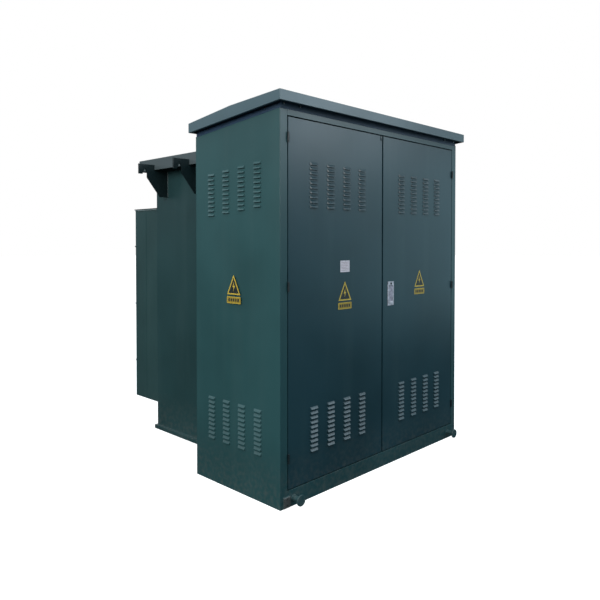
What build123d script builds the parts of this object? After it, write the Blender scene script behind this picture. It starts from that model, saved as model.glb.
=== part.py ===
"""Pad-mounted transformer: louvred two-door cable cabinet in front of an oil tank.

Millimetres. +X right, +Y towards the rear (the doors face -Y), +Z up.
The origin is under the middle of the whole object, on the ground.
Depths named v are measured rearwards from the face of the cabinet.
"""
import os

from build123d import *

os.makedirs("parts", exist_ok=True)

# ---- cabinet ----
cabinet_width = 1842.0
cabinet_depth = 769.0
body_height = 2203.0           # at the face of the cabinet
body_fall = 70.0               # how much lower the body is at its rear
sheet = 3.0
post_width = 54.0
sill_height = 94.0
header_height = 33.0
stop_width = 25.0
base_rail_width = 60.0
base_rail_thickness = 5.0
base_rail_height = 45.0
sill_foot = 60.0
anchor_hole_radius = 9.0
anchor_inset_x = 33.0
anchor_depths = (130.0, 640.0)
closure_lap = 20.0             # how far the rear closures lap the tank plate

# ---- roof ----
roof_overhang = 44.0
roof_rear_overhang = 18.0
roof_gap = 27.0                # body top to the lower edge of the fascia
fascia_front = 57.0
fascia_ridge = 70.0
fascia_rear = 58.0
ridge_depth = 376.0
roof_lip = 15.0
neck_inset = 3.0
neck_flange = 28.0
roof_rib_depths = (200.0, 560.0)
roof_rib_width = 50.0
roof_rib_height = 30.0
screw_height = 28.0            # above the body top
screw_insets = (31.0, 158.0)
screw_radius = 3.0
screw_head_radius = 6.0
screw_head = 3.0
screw_length = 8.0
screw_clearance = 0.3
screw_end_depth = 120.0        # of the side screws, from the body's ends

# ---- doors ----
door_gap = 6.0
seam_gap = 12.0                # between the two doors
door_sheet = 2.0
door_thickness = 25.0
door_return = 20.0
gasket_thickness = 4.6
gasket_width = 15.0
gasket_gap = 0.4               # between the gasket and the stops of the frame
gasket_inset = 2.0
lower_rib_rises = (72.0, 542.0)    # above the door's lower edge
upper_rib_drops = (606.0, 126.0)   # below the door's upper edge
rib_width = 40.0
rib_end_gap = 1.0
left_hinge_rises = (174.0, 1128.0)
left_hinge_drop = 112.0
right_hinge_rises = (154.0, 1055.0)
right_hinge_drop = 182.0
hinge_stand_out = 6.5
hinge_barrel_radius = 5.5
hinge_pin_radius = 3.0
hinge_knuckle = 27.0
hinge_pin_short = 3.0          # the pin stops this far below the moving knuckle's top
hinge_leaf = 1.6
hinge_leaf_depth = 20.0
running_clearance = 0.06

# ---- louvres ----
louvre_width = 64.0
louvre_height = 15.0
louvre_depth = 9.5
louvre_taper = 5.0
louvre_wall = 1.5
louvre_pitch = 27.0
louvre_rows = 10
louvre_columns = 4
door_louvre_spacing = 147.0
side_louvre_spacing = 141.0
side_louvre_middle = 397.0     # depth of the middle of the side panels' louvres
louvre_lower_middle = 396.0
louvre_upper_drop = 363.0      # from the door's top to the middle of the upper louvres
louvre_lip_share = 0.12        # how much of the height is a straight lip
louvre_bulge = (0.57, 0.54)    # where the hood's curve passes, as shares

# ---- signs ----
sign_width = 120.0
sign_height = 117.0
sign_border = 13.0
sign_band_width = 124.0
sign_band_height = 40.0
sign_band_gap = 12.0
sign_thickness = 0.6
sign_bolt = ((4, 78), (-11, 42), (0, 44), (-5, 18), (12, 53), (1, 51))   # from the base's middle
left_sign_x = -378.0
left_sign_drop = 1044.0        # triangle's base below the door's top
right_sign_x = 432.0
right_sign_drop = 1001.0
side_sign_v = 387.0
side_sign_drop = 998.0
label_width = 86.0
label_height = 70.0
label_drop = 871.0             # label's lower edge below the door's top

# ---- lock on the right door ----
lock_x = 92.0
lock_rise = 3.0                # above the middle of the door's height
lock_plate_width = 67.0
lock_plate_height = 159.0
lock_plate_thickness = 3.0
lock_case_width = 54.0
lock_case_height = 150.0
lock_case_depth = 20.0
lock_window_width = 44.0
lock_window_height = 104.0
lock_wall = 2.0
lock_pocket_depth = 14.0
handle_thickness = 6.0
handle_gap = 0.6
handle_top_gap = 4.0
handle_pin_radius = 2.0
handle_pin_drop = 10.0         # below the top of the window
handle_pin_depth = 4.5
handle_boss_half = 4.0
handle_pin_end_gap = 0.5
grip_inset = 6.0
grip_height = 16.0
grip_depth = 1.2
button_radius = 7.0
button_travel = 3.0
button_inside = 9.0
key_radius = 8.0
key_height = 1.5
key_slot_width = 2.0
key_slot_height = 10.0
key_slot_depth = 2.0
cam_radius = 20.0
cam_thickness = 3.0
cam_pin_radius = 3.0
cam_pin_offset = 14.0
lock_rod_radius = 4.0
rod_start = 22.0               # from the lock's middle to a rod's foot
rod_foot_height = 12.0
rod_foot_half = 14.0
rod_foot_gap = 9.0             # behind the lock's case
bolt_radius = 5.0
bolt_x = -60.0
bolt_length = 210.0
bolt_travel = 20.0
bolt_knob_gap = 5.0
bolt_stem_length = 18.0
bolt_head_thickness = 10.0
bolt_stem_share = 0.7
bolt_head_share = 1.6
rod_behind_stop = 7.0          # from the back of the frame's stops to a rod's middle
rod_stop_gap = 5.0             # free height between a rod's tip and a stop
guide_width = 20.0
guide_wall = 8.0               # from a rod's middle to the back of its guide
guide_height = 16.0
bolt_guide_height = 40.0

# ---- front fittings ----
lifting_post_inset = 103.0
lifting_post_height = 44.0
lifting_post_radius = 16.5
lifting_post_reach = 62.0
lifting_flange_radius = 31.0
lifting_flange_thickness = 10.0
pad_width = 49.0
pad_height = 58.0
pad_thickness = 8.0
pad_inset = 21.0
pad_bottom = 5.0
pad_hole_radius = 5.1
pad_hole_spacing = 30.0

# ---- tank ----
tank_width = 1142.0
tank_rear = 1780.0             # depth of the rear wall's outer face
tank_wall = 6.0
plate_thickness = 8.0
base_overhang = 19.0
base_rear_overhang = 13.0
base_height = 30.0
base_plate = 12.0
cover_drop = 24.0              # cover's top below the top of the tank plate
cover_plate = 8.0
cover_side_overhang = 118.0
cover_rear_overhang = 55.0
cover_skirt_height = 85.0
cover_skirt = 4.0
cover_gap = 2.0
rim_thickness = 12.0
rim_inset = 23.0               # rim edge inside the skirt
rim_inward = 45.0
gasket_rim_inset = 5.0
cover_gasket = 6.0
cover_bolt_radius = 6.0
cover_bolt_clearance = 1.0
cover_bolt_head = 10.0
cover_bolt_head_height = 8.0
cover_bolt_inset = 28.0        # from the rim's edge
cover_bolts_along = 8
cover_bolts_across = 9
cover_bolt_end_gaps = (70.0, 60.0)   # from the rim's ends, along and across
cover_bolt_tail = 4.0

# ---- lifting lugs, outline given as (out from the tank wall, below the cover's top) ----
lug_thickness = 12.0
lug_depths = (1175.0, 1625.0)
lug_reach = 251.0
lug_top = 47.0
lug_skirt_gap = 4.0
lug_hook_bottom = 121.0
lug_hook_width = 31.0
lug_notch = (199.0, 78.0)
lug_neck = (180.0, 108.0)
lug_elbow = (180.0, 146.0)
lug_foot = 69.0
lug_bottom = 287.0

# ---- corrugated cooling wall ----
fin_bank_width = 1130.0
fin_bank_rear = 2112.0
fin_bottom = 205.0
fin_top_drop = 366.0           # below the cover's top
fin_count = 23
fin_thickness = 12.0
fin_sheet = 1.5
fin_end_fold = 10.0
fin_bead_end = 25.0
fin_bead_width = 9.0
fin_bead_height = 4.0
fin_cap_thickness = 6.0
fin_cap_overhang = 6.0
tie_bar_radius = 5.0
tie_bar_rises = (295.0, 765.0)  # above the fins' lower end
tie_bar_drop = 300.0            # below their upper end

# ---- fittings on the tank plate, reaches are measured out from it ----
hv_bushing_x = (-460.0, -310.0, -160.0)
hv_bushing_z = 960.0
hv_stub_radius = 30.0
hv_stub_inside = 110.0
hv_flange = (62.0, 12.0)       # radius and thickness
hv_nose_root = (40.0, 14.0)    # radius and reach
hv_nose_shoulder = (38.0, 60.0)
hv_nose_reach = 165.0
hv_well_radius = 16.0
hv_well_depth = 65.0
fuse_z = 1560.0
fuse_radius = 22.0
fuse_clearance = 0.3
fuse_tube_radius = 34.0
fuse_tube_reach = 129.0
fuse_tube_inside = 180.0
fuse_tube_end = 8.0
fuse_flange_width = 20.0
fuse_flange_thickness = 10.0
fuse_end_gap = 12.0
fuse_cap_radius = 30.0
fuse_cap_length = 38.0
fuse_eye_radius = 20.0
fuse_eye_hole = 11.0
fuse_eye_width = 12.0
fuse_eye_reach = 52.0          # beyond the tube's mouth
boss_radius = 45.0
boss_thickness = 8.0
boss_neck_radius = 18.0
boss_reach = 26.0
switch_x = -400.0
switch_z = 1270.0
switch_hub_radius = 22.0
switch_hub_reach = 56.0
switch_arm_reach = (34.0, 46.0)
switch_arm_width = 22.0
switch_arm_length = 150.0
switch_eye_radius = 17.0
switch_eye_hole = 9.0
tap_x = -150.0
tap_z = 1270.0
tap_knob_radius = 34.0
tap_knob_thickness = 14.0
tap_bar_length = 60.0
tap_bar_width = 14.0
tap_bar_height = 26.0
lv_bushing_x = (110.0, 230.0, 350.0, 470.0)
lv_bushing_z = 1010.0
lv_body_radius = 35.0
lv_body_reach = 69.0
lv_body_inside = 80.0
lv_flange = (50.0, 14.0)
lv_stud_radius = 17.0
lv_stud_reach = 125.0
spade_reach = (122.0, 225.0)
spade_height = 100.0
spade_thickness = 12.0
spade_middle_reach = 175.0
spade_hole_spacing = 44.45
spade_hole_radius = 7.14
gauge_x = (170.0, 360.0)
gauge_z = 1560.0
gauge_radius = 45.0
gauge_reach = 34.0
gauge_rim = 4.0
gauge_face_reach = 28.0
needle_hub_radius = 5.0
needle_thickness = 4.0
needle_width = 4.0
needle_tail = 8.0
needle_tip = 32.0
relief_x = 480.0
relief_drop = 300.0            # below the top of the tank plate
relief_radius = 22.0
relief_reach = 40.0
relief_stem_radius = 3.0
relief_stem_reach = (20.0, 58.0)
relief_ring_radius = 16.0
relief_ring_hole = 10.0
relief_ring_width = 8.0
relief_ring_reach = 70.0
fill_x = 300.0
fill_plug_radius = 20.0
fill_plug_reach = 18.0
drain_x = 480.0
drain_z = 170.0
drain_radius = 22.0
drain_reach = 90.0
drain_mouth_radius = 13.0
drain_mouth_depth = 20.0
drain_stem_radius = 10.0
drain_stem_reach = 50.0
drain_stem_height = 34.0
drain_hub_radius = 13.0
drain_hub_height = 12.0
drain_arm_length = 95.0
drain_arm_width = 16.0
drain_arm_levels = (3.0, 9.0)
small_gap = 0.5

# ---- core and windings ----
core_middle_v = 1300.0
core_depth = 190.0
core_half_width = 500.0
core_bottom = 140.0
core_yoke = 190.0
core_window = 760.0
limb_spacing = 340.0
limb_width = 180.0
lv_coil_inner = 134.0
lv_coil_outer = 148.0
hv_coil_inner = 153.0
hv_coil_outer = 166.0
coil_end_gap = 20.0
clamp_height = 160.0
clamp_width = 40.0
clamp_overhang = 15.0

# ---- worked out from the sizes above ----
overall_rear = fin_bank_rear + 2 * tie_bar_radius
front = (lifting_post_reach - overall_rear) / 2
half_width = cabinet_width / 2
body_slope = body_fall / cabinet_depth
opening_half = half_width - post_width
opening_top = body_height - header_height
door_bottom = sill_height + door_gap
door_top = opening_top - door_gap
lock_z = (door_bottom + door_top) / 2 + lock_rise
rib_heights = [door_bottom + rise for rise in lower_rib_rises] + [door_top - drop for drop in upper_rib_drops]
hinge_x = opening_half - door_gap / 2
left_hinge_heights = [door_bottom + rise for rise in left_hinge_rises] + [door_top - left_hinge_drop]
right_hinge_heights = [door_bottom + rise for rise in right_hinge_rises] + [door_top - right_hinge_drop]
louvre_upper_middle = door_top - louvre_upper_drop
jamb_depth = door_thickness + gasket_thickness + gasket_gap + sheet
rod_depth = jamb_depth + rod_behind_stop
plate_face = cabinet_depth
plate_height = body_height - body_fall - sheet
relief_z = plate_height - relief_drop
spade_middle = plate_face - spade_middle_reach
rod_top = opening_top - stop_width - rod_stop_gap
rod_bottom = sill_height + stop_width + rod_stop_gap
tank_half = tank_width / 2
tank_front = cabinet_depth + plate_thickness
cover_top = plate_height - cover_drop
cover_skirt_bottom = cover_top - cover_skirt_height
cover_half = tank_half + cover_side_overhang
cover_rear = tank_rear + cover_rear_overhang
rim_top = cover_top - cover_plate - cover_gasket
rim_half = cover_half - rim_inset
rim_rear = cover_rear - rim_inset
fin_top = cover_top - fin_top_drop
tie_bar_heights = [fin_bottom + rise for rise in tie_bar_rises] + [fin_top - tie_bar_drop]


def body_top(v):
    """Height of the sloping top of the cabinet body at a depth."""
    return body_height - body_slope * v


def block(x, v, z):
    """A box from low and high values; v is a pair of depths."""
    size = (x[1] - x[0], v[1] - v[0], z[1] - z[0])
    middle = Pos((x[0] + x[1]) / 2, front + (v[0] + v[1]) / 2, (z[0] + z[1]) / 2)
    return middle * Box(*size)


def rod_x(radius, x, v, z):
    return Pos((x[0] + x[1]) / 2, front + v, z) * Rot(0, 90, 0) * Cylinder(radius, x[1] - x[0])


def rod_y(radius, x, v, z):
    return Pos(x, front + (v[0] + v[1]) / 2, z) * Rot(90, 0, 0) * Cylinder(radius, v[1] - v[0])


def rod_z(radius, x, v, z):
    return Pos(x, front + v, (z[0] + z[1]) / 2) * Cylinder(radius, z[1] - z[0])


def side_prism(outline, x):
    """Extrude an outline of (v, z) points from one x to another."""
    points = [(front + v, z) for v, z in outline]
    face = Plane.YZ.offset(x[0]) * Polygon(*points, align=None)
    return extrude(face, amount=x[1] - x[0], dir=(1, 0, 0))


def face_prism(outline, v):
    """Extrude an outline of (x, z) points from one depth to another."""
    face = Plane.XZ.offset(-(front + v[0])) * Polygon(*outline, align=None)
    return extrude(face, amount=v[1] - v[0], dir=(0, 1, 0))


def plan_prism(outline, z):
    """Extrude an outline of (x, v) points from one height to another."""
    points = [(x, front + v) for x, v in outline]
    face = Plane.XY.offset(z[0]) * Polygon(*points, align=None)
    return extrude(face, amount=z[1] - z[0], dir=(0, 0, 1))


def mirrored(shape):
    """The same piece on the other side of the cabinet."""
    return mirror(shape, about=Plane.YZ)


def spread(count, low, high):
    """Evenly spaced values from low to high."""
    return [low + (high - low) * index / (count - 1) for index in range(count)]


# ---- louvres pressed into a sheet ----
def louvre_hood(inset):
    """Hood at the origin over a sheet whose face is y = 0, opening downwards.

    An inset of zero gives the outside of the hood, and the wall thickness
    gives the space under it, which also runs on through the sheet.
    """
    top = louvre_height - inset
    reach = louvre_depth - inset
    lip = louvre_height * louvre_lip_share
    low = 0 if inset == 0 else -1
    back = 0 if inset == 0 else sheet + 1
    bulge = (-reach * louvre_bulge[0], lip + (top - lip) * louvre_bulge[1])
    edges = [ThreePointArc((0, top), bulge, (-reach, lip))]
    corners = [(-reach, lip), (-reach, low), (0, low), (0, 0), (back, 0), (back, top), (0, top)]
    if inset == 0:
        corners = [(-reach, lip), (-reach, 0), (0, 0), (0, top)]
    edges += [Line(a, b) for a, b in zip(corners, corners[1:])]
    half = louvre_width / 2 - inset
    hood = extrude(Plane.YZ * make_face(edges), amount=half, both=True)
    slant = louvre_taper * reach / louvre_depth
    ends = [(-half, 0), (half, 0), (half - slant, -reach), (slant - half, -reach)]
    if inset > 0:
        ends = [(-half, back), (half, back)] + ends[1:] + ends[:1]
    return hood & extrude(Plane.XY * Polygon(*ends, align=None), amount=louvre_height * 2, both=True)


hood_outside = louvre_hood(0)
hood_inside = louvre_hood(louvre_wall)


def louvre_places(middle, spacing, fall=0.0):
    """Offset along the sheet and height of each louvre's lower edge.

    Each column of the upper group is lower than the one before it by fall.
    """
    group_height = louvre_pitch * (louvre_rows - 1) + louvre_height
    places = []
    for group_middle, step in ((louvre_lower_middle, 0.0), (louvre_upper_middle, fall)):
        for column in range(louvre_columns):
            along = middle + spacing * (column - (louvre_columns - 1) / 2)
            for row in range(louvre_rows):
                places.append((along, group_middle - group_height / 2 + louvre_pitch * row - step * column))
    return places


def add_louvres(panel, places, turn):
    """Press louvres into a sheet; turn places a hood from (along, height)."""
    hoods = [turn(along, height) * hood_outside for along, height in places]
    pockets = [turn(along, height) * hood_inside for along, height in places]
    return panel.fuse(*hoods).cut(*pockets)


# ---- cabinet pieces ----
def corner_post():
    """Folded left post: inner lap, face, jamb and door stop."""
    outer = -half_width
    inner = -opening_half
    top = body_top(0)
    face = block((outer, inner), (0, sheet), (0, top))
    lap = block((outer + sheet, outer + 2 * sheet), (sheet, jamb_depth), (0, top))
    jamb = block((inner - sheet, inner), (sheet, jamb_depth), (0, top))
    stop = block((inner, inner + stop_width), (jamb_depth - sheet, jamb_depth), (sill_height, opening_top))
    above = side_prism([(-1, body_top(-1)), (jamb_depth + 1, body_top(jamb_depth + 1)),
                        (jamb_depth + 1, top + 10), (-1, top + 10)], (outer - 1, inner + 1))
    return (face + lap + jamb + stop) - above


def side_panel(side):
    """Flat louvred sheet; side is -1 on the left and 1 on the right."""
    rear = cabinet_depth - sheet
    outline = [(sheet, 0), (rear, 0), (rear, body_top(rear)), (sheet, body_top(sheet))]
    x = sorted((side * half_width, side * (half_width - sheet)))
    panel = side_prism(outline, x)
    places = louvre_places(side_louvre_middle, side_louvre_spacing, body_slope * side_louvre_spacing)

    def turn(along, height):
        return Pos(side * half_width, front + along, height) * Rot(0, 0, side * 90)

    return add_louvres(panel, places, turn)


def rear_closures():
    """Sheets that close the cabinet's rear on both sides of the tank."""
    rear = cabinet_depth - sheet
    deep = cabinet_depth
    outline = [(rear, 0), (deep, 0), (deep, body_top(deep)), (rear, body_top(rear))]
    left = side_prism(outline, (-half_width, -tank_half + closure_lap))
    return [left, mirrored(left)]


def front_header():
    top = body_top(0)
    web = side_prism([(0, opening_top), (sheet, opening_top), (sheet, body_top(sheet)), (0, top)],
                     (-opening_half, opening_half))
    shelf = block((-opening_half, opening_half), (sheet, jamb_depth), (opening_top, opening_top + sheet))
    stop = block((stop_width - opening_half, opening_half - stop_width), (jamb_depth - sheet, jamb_depth),
                 (opening_top - stop_width, opening_top))
    return web + shelf + stop


def front_sill():
    across = (-opening_half, opening_half)
    web = block(across, (0, sheet), (0, sill_height))
    shelf = block(across, (sheet, jamb_depth), (sill_height - sheet, sill_height))
    stop = block((stop_width - opening_half, opening_half - stop_width), (jamb_depth - sheet, jamb_depth),
                 (sill_height, sill_height + stop_width))
    foot = block(across, (sheet, sill_foot), (0, base_rail_thickness))
    return web + shelf + stop + foot


def base_rails():
    """Angles along the bottom of the side panels, with the anchor holes."""
    inner = half_width - sheet
    rear = cabinet_depth - sheet
    shelf = block((-inner, base_rail_width - inner), (sill_foot, rear), (0, base_rail_thickness))
    leg = block((-inner, base_rail_thickness - inner), (sill_foot, rear), (0, base_rail_height))
    rail = shelf + leg
    for v in anchor_depths:
        rail -= rod_z(anchor_hole_radius, anchor_inset_x - half_width, v, (-1, base_rail_thickness + 1))
    return [rail, mirrored(rail)]


def compartment_barrier():
    """Steel sheet between the two cable compartments, with a door stop."""
    top = opening_top - stop_width
    bottom = sill_height + stop_width
    web = block((-sheet / 2, sheet / 2), (jamb_depth, plate_face), (bottom, body_top(cabinet_depth) - sheet))
    stop = block((-stop_width, stop_width), (jamb_depth - sheet, jamb_depth), (bottom, top))
    return web + stop


# ---- roof ----
def roof_low(v):
    return body_top(v) + roof_gap


def roof_top(v):
    """Height of the roof's top, which folds at the ridge."""
    low = -roof_overhang
    high = cabinet_depth + roof_rear_overhang
    ridge = roof_low(ridge_depth) + fascia_ridge
    if v <= ridge_depth:
        eave = roof_low(low) + fascia_front
        return eave + (ridge - eave) * (v - low) / (ridge_depth - low)
    tail = roof_low(high) + fascia_rear
    return ridge + (tail - ridge) * (v - ridge_depth) / (high - ridge_depth)


def roof_line(drop, front_v, rear_v):
    """Points of the roof's top from front to rear, lowered by drop."""
    return [(v, roof_top(v) - drop) for v in (front_v, ridge_depth, rear_v)]


def roof_shell():
    low = -roof_overhang
    high = cabinet_depth + roof_rear_overhang
    half = half_width + roof_overhang
    fascia_edge = [(high, roof_low(high)), (low, roof_low(low))]
    outside = side_prism(roof_line(0, low, high) + fascia_edge, (-half, half))
    near = low + sheet
    far = high - sheet
    floor = [(far, roof_low(far) + sheet), (near, roof_low(near) + sheet)]
    room = side_prism(roof_line(sheet, near, far) + floor, (sheet - half, half - sheet))
    inset = sheet + roof_lip
    near = low + inset
    far = high - inset
    through = sheet + 1
    mouth = side_prism([(near, roof_low(near) - 1), (far, roof_low(far) - 1), (far, roof_low(far) + through),
                        (near, roof_low(near) + through)], (inset - half, half - inset))
    return outside - room - mouth


def roof_neck():
    """Recessed ring between the body and the roof, on a flange."""
    deep = cabinet_depth
    half = half_width
    flange = side_prism([(0, body_top(0)), (deep, body_top(deep)), (deep, body_top(deep) + sheet),
                         (0, body_top(0) + sheet)], (-half, half))
    near = neck_inset
    far = deep - neck_inset
    foot = [(far, body_top(far) + sheet), (near, body_top(near) + sheet)]
    band = side_prism(roof_line(sheet, near, far) + foot, (near - half, half - near))
    inner = near + sheet
    hollow = block((inner - half, half - inner), (inner, deep - inner), (body_top(deep), body_height + 200))
    mouth = block((neck_flange - half, half - neck_flange), (neck_flange, deep - neck_flange),
                  (body_top(deep) - 10, body_height + 200))
    ring = (flange - mouth) + (band - hollow)
    hole = screw_radius + screw_clearance
    for x, v, outward in screw_places():
        if outward == 0:
            ring -= rod_y(hole, x, (v - 2, v + sheet + 2), body_top(0) + screw_height)
        else:
            ends = sorted((x + 2 * outward, x - outward * (sheet + 2)))
            ring -= rod_x(hole, ends, v, body_top(v) + screw_height)
    return ring


def screw_places():
    """Where the roof screws meet the neck: x, v and the outward x direction."""
    places = []
    for side in (-1, 1):
        for inset in screw_insets:
            places.append((side * (half_width - inset), neck_inset, 0))
        for v in (screw_end_depth, cabinet_depth - screw_end_depth):
            places.append((side * (half_width - neck_inset), v, side))
    return places


def roof_ribs():
    """Channels that stiffen the roof from inside the neck."""
    half = half_width - neck_inset - sheet
    ribs = []
    for v in roof_rib_depths:
        near = v - roof_rib_width / 2
        far = v + roof_rib_width / 2
        top = [(near, roof_top(near) - sheet), (far, roof_top(far) - sheet)]
        low = [(far, top[1][1] - roof_rib_height), (near, top[0][1] - roof_rib_height)]
        bar = side_prism(top + low, (-half, half))
        hollow = [(near + sheet, top[0][1] + 5), (far - sheet, top[1][1] + 5),
                  (far - sheet, low[0][1] + sheet), (near + sheet, low[1][1] + sheet)]
        ribs.append(bar - side_prism(hollow, (-half, half)))
    return ribs


# ---- doors ----
def door_x(side):
    """Low and high x of a door; side is -1 on the left and 1 on the right."""
    return sorted((side * (opening_half - door_gap), side * seam_gap / 2))


def door_skin(side):
    """Folded tray with returns, pressed louvres and the lock's cut-out."""
    x = door_x(side)
    inside = (x[0] + door_sheet, x[1] - door_sheet)
    mouth = (x[0] + door_sheet + door_return, x[1] - door_sheet - door_return)
    tray = block(x, (0, door_thickness), (door_bottom, door_top))
    tray -= block(inside, (door_sheet, door_thickness - door_sheet),
                  (door_bottom + door_sheet, door_top - door_sheet))
    edge = door_sheet + door_return
    tray -= block(mouth, (door_sheet, door_thickness + 1), (door_bottom + edge, door_top - edge))
    places = louvre_places((x[0] + x[1]) / 2, door_louvre_spacing)

    def turn(along, height):
        return Pos(along, front, height)

    skin = add_louvres(tray, places, turn)
    if side > 0:
        half = lock_case_width / 2
        tall = lock_case_height / 2
        skin -= block((lock_x - half, lock_x + half), (-1, door_sheet + 1), (lock_z - tall, lock_z + tall))
    return skin


def door_ribs(side):
    """Channels across the back of a door, and the guides of its rods."""
    x = door_x(side)
    edge = door_sheet + door_return + rib_end_gap
    across = (x[0] + edge, x[1] - edge)
    pieces = []
    for height in rib_heights:
        low = height - rib_width / 2
        high = height + rib_width / 2
        bar = block(across, (door_sheet, door_thickness), (low, high))
        bar -= block(across, (0, door_thickness - door_sheet), (low + door_sheet, high - door_sheet))
        pieces.append(bar)
    if side > 0:
        for height in rib_heights:
            pieces.append(rod_guide(lock_x, height, guide_height, lock_rod_radius))
    else:
        for height in (rib_heights[0], rib_heights[-1]):
            pieces.append(rod_guide(bolt_x, height, bolt_guide_height, bolt_radius))
    return pieces


def rod_guide(x, z, height, radius):
    guide = block((x - guide_width / 2, x + guide_width / 2), (door_thickness, rod_depth + guide_wall),
                  (z - height / 2, z + height / 2))
    return guide - rod_z(radius + running_clearance, x, rod_depth, (z - height, z + height))


def door_gasket(side):
    """Sponge seal on the door's returns, just clear of the frame's stops."""
    x = door_x(side)
    depth = (door_thickness, door_thickness + gasket_thickness)

    def slab(inset, across):
        return block((x[0] + inset, x[1] - inset), across, (door_bottom + inset, door_top - inset))

    return slab(gasket_inset, depth) - slab(gasket_inset + gasket_width, (0, 2 * door_thickness))


def frame_hinge(side, height):
    """Fixed knuckle with its pin and a leaf on the jamb."""
    x = side * hinge_x
    low = height - hinge_knuckle
    barrel = rod_z(hinge_barrel_radius, x, -hinge_stand_out, (low, height - small_gap))
    leaf_x = sorted((side * opening_half, side * (opening_half - hinge_leaf)))
    leaf = block(leaf_x, (-hinge_stand_out, hinge_leaf_depth), (low, height - small_gap))
    pin = rod_z(hinge_pin_radius, x, -hinge_stand_out, (low, height + hinge_knuckle - hinge_pin_short))
    return barrel + leaf + pin


def door_hinge(side, height):
    """Moving knuckle that turns on the pin, with a leaf on the door's edge."""
    x = side * hinge_x
    high = height + hinge_knuckle
    barrel = rod_z(hinge_barrel_radius, x, -hinge_stand_out, (height, high))
    door_edge = opening_half - door_gap
    leaf_x = sorted((side * door_edge, side * (door_edge + hinge_leaf)))
    leaf = block(leaf_x, (-hinge_stand_out, hinge_leaf_depth), (height, high))
    bore = rod_z(hinge_pin_radius + running_clearance, x, -hinge_stand_out,
                 (height - 1, high - hinge_pin_short + 1))
    return barrel + leaf - bore


def warning_sign():
    """Triangle outline, bolt and band, flat on y = 0 with its base at z = 0."""
    half = sign_width / 2
    outside = Polygon((-half, 0), (half, 0), (0, sign_height), align=None)
    share = 1 - 3 * sign_border / sign_height
    middle = sign_height / 3
    inside = Polygon((-half * share, middle - middle * share), (half * share, middle - middle * share),
                     (0, middle + (sign_height - middle) * share), align=None)
    bolt = Polygon(*sign_bolt, align=None)
    low = -sign_band_gap - sign_band_height
    band = Pos(0, low + sign_band_height / 2) * Rectangle(sign_band_width, sign_band_height)
    flat = [outside - inside, bolt, band]
    return [extrude(Plane.XZ * shape, amount=sign_thickness, dir=(0, -1, 0)) for shape in flat]


def placed_sign(place):
    return [place * piece for piece in warning_sign()]


def left_door_signs():
    low = door_top - label_drop
    label = block((left_sign_x - label_width / 2, left_sign_x + label_width / 2), (-sign_thickness, 0),
                  (low, low + label_height))
    return placed_sign(Pos(left_sign_x, front, door_top - left_sign_drop)) + [label]


def side_signs():
    height = door_top - side_sign_drop
    left = placed_sign(Pos(-half_width, front + side_sign_v, height) * Rot(0, 0, -90))
    right = placed_sign(Pos(half_width, front + side_sign_v, height) * Rot(0, 0, 90))
    return left + right


# ---- lock ----
window_top = lock_z + lock_window_height / 2
window_bottom = lock_z - lock_window_height / 2
handle_axis_z = window_top - handle_pin_drop
button_z = (window_top + lock_z + lock_plate_height / 2) / 2


def lock_body():
    """Flush lock: face plate and a case with a finger pocket."""
    half = lock_plate_width / 2
    plate_back = -lock_plate_thickness
    plate = block((lock_x - half, lock_x + half), (plate_back, 0),
                  (lock_z - lock_plate_height / 2, lock_z + lock_plate_height / 2))
    case_half = lock_case_width / 2 - small_gap
    tall = lock_case_height / 2 - small_gap
    case = block((lock_x - case_half, lock_x + case_half), (0, lock_case_depth),
                 (lock_z - tall, lock_z + tall))
    body = plate + case
    window_half = lock_window_width / 2
    body -= block((lock_x - window_half, lock_x + window_half), (plate_back - 1, lock_pocket_depth),
                  (window_bottom, window_top))
    body -= rod_x(handle_pin_radius + running_clearance, (lock_x - case_half - 1, lock_x + case_half + 1),
                  handle_pin_depth, handle_axis_z)
    body -= rod_y(button_radius + running_clearance, lock_x, (plate_back - 1, lock_pocket_depth), button_z)
    key_z = lock_z - (button_z - lock_z)
    body += rod_y(key_radius, lock_x, (plate_back - key_height, 0), key_z)
    slot_half = key_slot_width / 2
    tall = key_slot_height / 2
    slot = block((lock_x - slot_half, lock_x + slot_half), (plate_back - key_height - 1, key_slot_depth),
                 (key_z - tall, key_z + tall))
    return body - slot


def lock_handle():
    """Flap in the lock's window, hung on a pin near its top."""
    half = lock_window_width / 2 - handle_gap
    face = -lock_plate_thickness
    back = handle_thickness - lock_plate_thickness
    flap = block((lock_x - half, lock_x + half), (face, back),
                 (window_bottom + handle_gap, window_top - handle_top_gap))
    boss = block((lock_x - half, lock_x + half), (back, handle_pin_depth + handle_pin_radius),
                 (handle_axis_z - handle_boss_half, handle_axis_z + handle_boss_half))
    reach = lock_case_width / 2 - small_gap - handle_pin_end_gap
    pin = rod_x(handle_pin_radius, (lock_x - reach, lock_x + reach), handle_pin_depth, handle_axis_z)
    grip_low = window_bottom + grip_inset
    grip = block((lock_x - half + grip_inset, lock_x + half - grip_inset), (face - 1, face + grip_depth),
                 (grip_low, grip_low + grip_height))
    return flap + boss + pin - grip


def lock_button():
    return rod_y(button_radius, lock_x, (-lock_plate_thickness - button_travel, button_inside), button_z)


def lock_cam():
    """Disc behind the case whose two pins drive the rods."""
    near = lock_case_depth + small_gap
    back = near + cam_thickness
    cam = rod_y(cam_radius, lock_x, (near, back), lock_z)
    for side in (-1, 1):
        cam += rod_y(cam_pin_radius, lock_x + side * cam_pin_offset, (back, back + cam_thickness), lock_z)
    return cam


def lock_rod(direction):
    """Rod from the cam to the top (1) or the bottom (-1) of the door."""
    start = lock_z + direction * rod_start
    end = rod_top if direction > 0 else rod_bottom
    rod = rod_z(lock_rod_radius, lock_x, rod_depth, sorted((start, end)))
    across = (lock_x - rod_foot_half, lock_x + rod_foot_half)
    foot = block(across, (lock_case_depth + rod_foot_gap, rod_depth),
                 sorted((start, start + direction * rod_foot_height)))
    return rod + foot


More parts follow.
